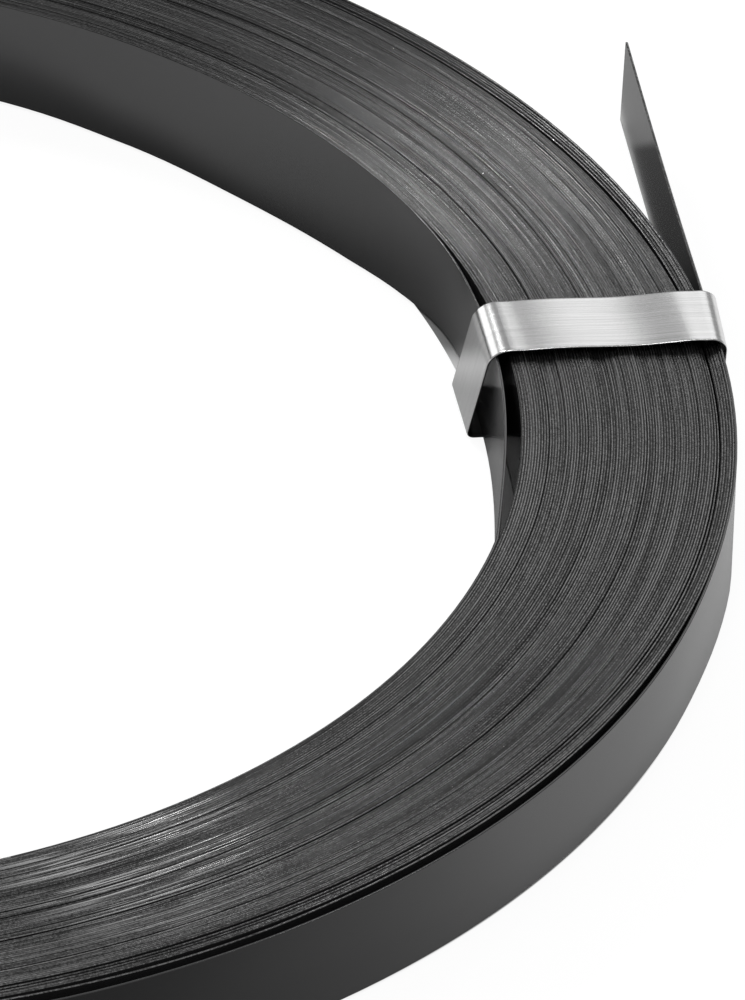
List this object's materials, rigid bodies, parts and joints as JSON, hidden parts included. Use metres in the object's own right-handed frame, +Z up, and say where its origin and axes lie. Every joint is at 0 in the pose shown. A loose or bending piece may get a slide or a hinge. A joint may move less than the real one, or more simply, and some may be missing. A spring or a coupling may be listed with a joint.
{
  "type": "steel strapping coil",
  "caption": "Flat-wound coil of dark steel strapping with an open eye and a free outer end, held by bright metal tie bands.",
  "frame": {"origin": "on the coil's own axis, at the level of the floor that it lies on", "axes": "+Z up the coil's axis; +X across the coil, 12.7 degrees before the first tie band, with the free tail pointing roughly along +Y"},
  "size_m": [0.3338, 0.3343, 0.021],
  "materials": {
    "dark_strap": "satin dark grey paint, bare slit edges",
    "bright_band": "brushed, bright"
  },
  "bodies": {
    "root": {"strapping": "dark_strap", "tie_band_1": "bright_band", "tie_band_2": "bright_band", "tie_band_3": "bright_band"}
  },
  "joints": []
}
